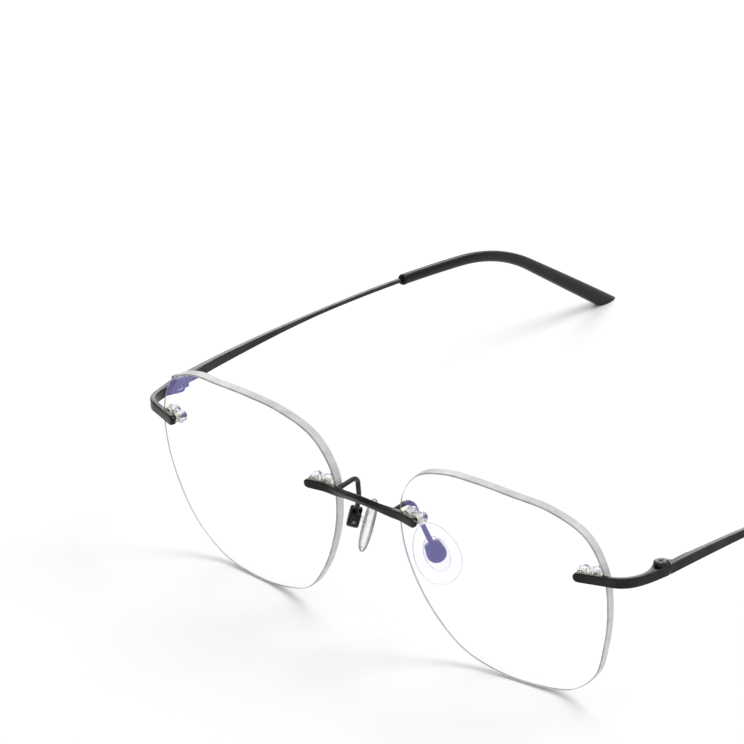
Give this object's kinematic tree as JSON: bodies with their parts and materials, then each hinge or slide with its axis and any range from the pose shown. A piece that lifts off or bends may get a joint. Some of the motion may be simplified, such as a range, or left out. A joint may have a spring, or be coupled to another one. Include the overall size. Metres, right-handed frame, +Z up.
{
  "type": "rimless eyeglasses",
  "caption": "Rimless eyeglasses with soft six-sided lenses, slim dark metal bridge, endpieces and folding temples, clear nose pads and curved black temple tips.",
  "frame": {"origin": "under the middle of the whole, on the surface that the glasses stand on", "axes": "+X towards the wearer's left, +Y from the lenses back to the temple tips, +Z up"},
  "size_m": [0.1542, 0.163, 0.0458],
  "materials": {
    "frame_metal": "satin",
    "screw_steel": "satin",
    "tip_plastic": "gloss",
    "lens": "polished",
    "clear_nylon": "gloss",
    "washer_nylon": "matte",
    "pad_silicone": "satin"
  },
  "bodies": {
    "front": {"bridge": "frame_metal", "lens_left": "lens", "lens_sleeve_temporal_left": "clear_nylon", "lens_sleeve_nasal_left": "clear_nylon", "endpiece_left": "frame_metal", "hinge_screw_left": "screw_steel", "hinge_washer_upper_left": "washer_nylon", "hinge_washer_lower_left": "washer_nylon", "pad_arm_left": "frame_metal", "pad_box_left": "frame_metal", "pad_screw_left": "screw_steel", "lens_right": "lens", "lens_sleeve_temporal_right": "clear_nylon", "lens_sleeve_nasal_right": "clear_nylon", "endpiece_right": "frame_metal", "hinge_screw_right": "screw_steel", "hinge_washer_upper_right": "washer_nylon", "hinge_washer_lower_right": "washer_nylon", "pad_arm_right": "frame_metal", "pad_box_right": "frame_metal", "pad_screw_right": "screw_steel"},
    "temple_left": {"temple_hinge_left": "frame_metal", "temple_arm_left": "frame_metal", "temple_tip_left": "tip_plastic"},
    "nose_pad_left": {"pad_insert_left": "clear_nylon", "nose_pad_left": "pad_silicone"},
    "temple_right": {"temple_hinge_right": "frame_metal", "temple_arm_right": "frame_metal", "temple_tip_right": "tip_plastic"},
    "nose_pad_right": {"pad_insert_right": "clear_nylon", "nose_pad_right": "pad_silicone"}
  },
  "joints": [
    {"name": "temple_left_fold", "type": "hinge", "parent": "front", "child": "temple_left", "pos_m": [0.0661, -0.06376, 0.0317], "axis": [0, -0.0518, 0.9987], "range_deg": [0, 89]},
    {"name": "temple_right_fold", "type": "hinge", "parent": "front", "child": "temple_right", "pos_m": [-0.0661, -0.06376, 0.0317], "axis": [0, 0.0518, -0.9987], "range_deg": [0, 94]},
    {"name": "nose_pad_left_rock", "type": "hinge", "parent": "front", "child": "nose_pad_left", "pos_m": [0.0115, -0.0696, 0.02079], "axis": [0.5067, 0.7726, 0.3825], "range_deg": [-10, 10]},
    {"name": "nose_pad_right_rock", "type": "hinge", "parent": "front", "child": "nose_pad_right", "pos_m": [-0.0115, -0.0696, 0.02079], "axis": [0.5067, -0.7726, -0.3825], "range_deg": [-10, 10]}
  ]
}
